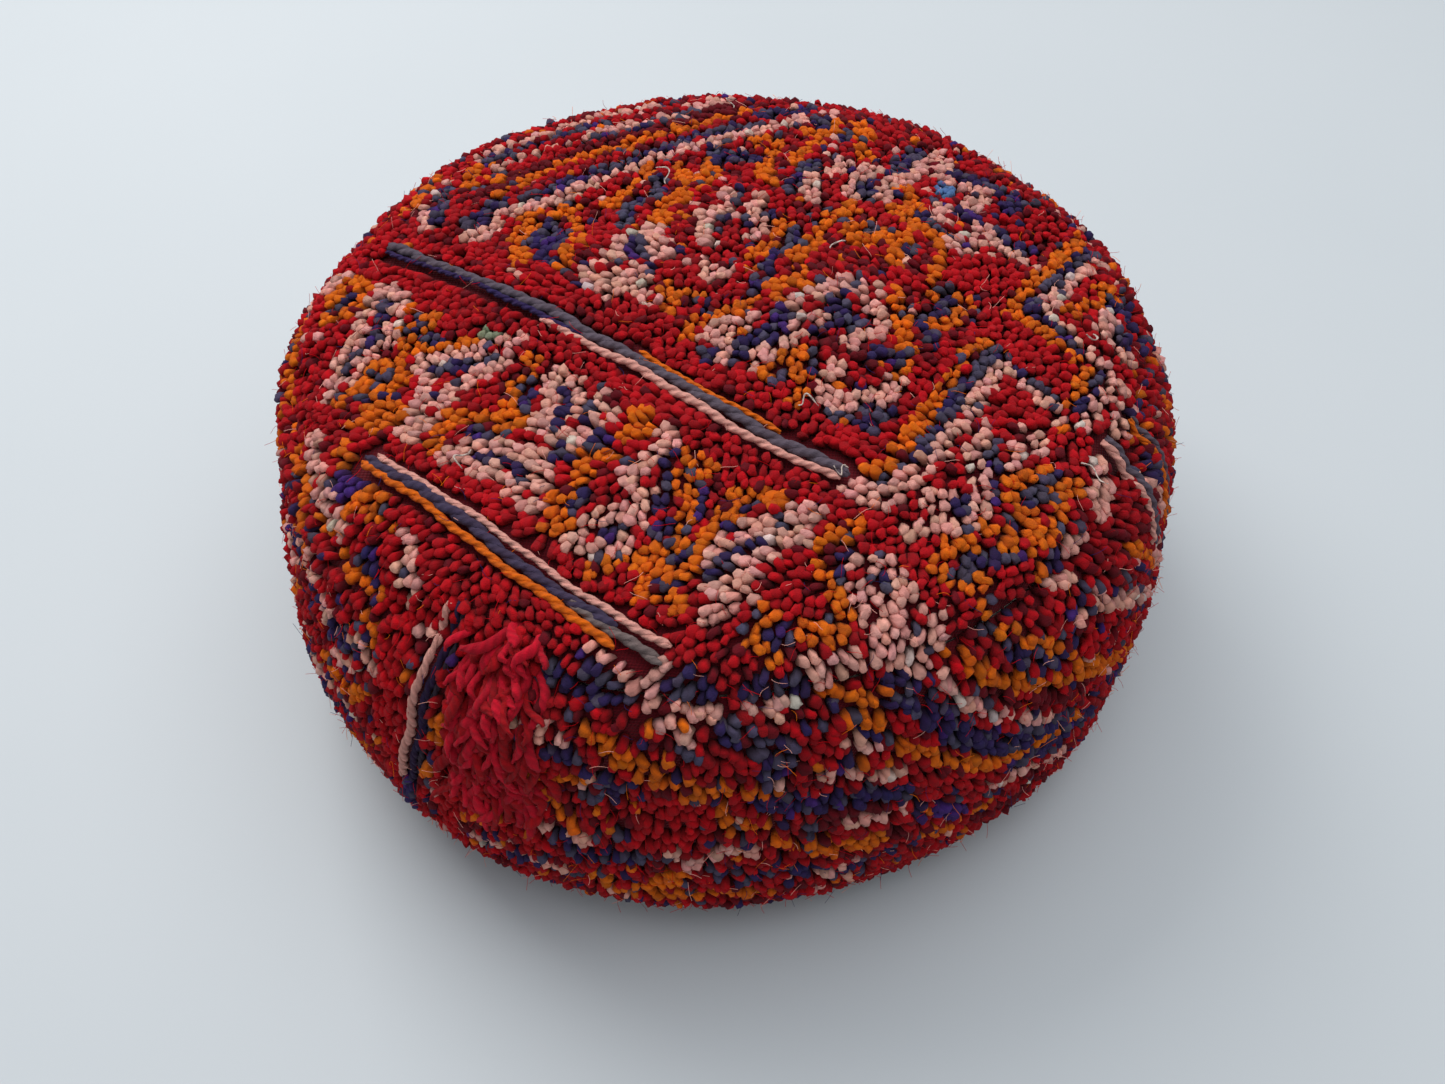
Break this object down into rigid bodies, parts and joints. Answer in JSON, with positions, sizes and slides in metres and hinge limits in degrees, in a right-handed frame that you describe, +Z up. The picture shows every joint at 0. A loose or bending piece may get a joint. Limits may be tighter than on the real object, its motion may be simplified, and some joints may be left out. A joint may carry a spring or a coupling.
{
  "type": "round rug pouf",
  "caption": "Low round floor pouf with a knotted wool rug cover, soft domed top, bulging side, and a cotton base closed by a zip.",
  "frame": {"origin": "centre of the flat underside, on the floor", "axes": "+Z up through the crown; +X to the right and +Y away from the front; the zip runs along X under the base"},
  "size_m": [0.5168, 0.5169, 0.246],
  "materials": {
    "pile_wool": "knotted wool pile, matte, red with slate, navy, orange and pink figures",
    "woven_ground": "plain woven wool, matte",
    "base_canvas": "plain woven cotton canvas, matte",
    "slate_yarn": "twisted wool cord, matte",
    "pink_yarn": "twisted wool cord, matte",
    "orange_yarn": "twisted wool cord, matte",
    "zip_tape": "woven polyester tape, matte",
    "zip_teeth": "moulded plastic, satin",
    "zip_metal": "cast brass, worn satin",
    "liner_cotton": "thin plain cotton, matte",
    "stuffing_fibre": "packed fibre filling, matte",
    "cotton_thread": "waxed cotton thread, matte",
    "sewing_thread": "waxed cotton thread, matte"
  },
  "bodies": {
    "pouf": {"base_half_back": "base_canvas", "base_half_front": "base_canvas", "base_seam_thread": "cotton_thread", "liner_base": "liner_cotton", "liner_side": "liner_cotton", "liner_top": "liner_cotton", "side_joint_thread": "sewing_thread", "side_panel_1_ground": "woven_ground", "side_panel_1_pile": "pile_wool", "side_panel_2_ground": "woven_ground", "side_panel_2_pile": "pile_wool", "side_panel_3_ground": "woven_ground", "side_panel_3_pile": "pile_wool", "stuffing": "stuffing_fibre", "top_panel_ground": "woven_ground", "top_panel_pile": "pile_wool", "top_seam_thread": "sewing_thread", "weft_cord_orange": "orange_yarn", "weft_cord_pink": "pink_yarn", "weft_cord_slate": "slate_yarn", "zip_bottom_stop": "zip_teeth", "zip_stitching": "cotton_thread", "zip_tape_back": "zip_tape", "zip_tape_front": "zip_tape", "zip_teeth_back": "zip_teeth", "zip_teeth_front": "zip_teeth", "zip_top_stops": "zip_teeth"},
    "zip_slider": {"zip_slider_body": "zip_metal"},
    "zip_pull": {"zip_pull_tab": "zip_metal"}
  },
  "joints": [
    {"name": "zip_slide", "type": "slide", "parent": "pouf", "child": "zip_slider", "axis": [-1, 0, 0], "range_m": [0, 0.38]},
    {"name": "pull_swing", "type": "hinge", "parent": "zip_slider", "child": "zip_pull", "pos_m": [0.19, 0, 0.004], "axis": [0, -1, 0], "range_deg": [0, 175]}
  ]
}
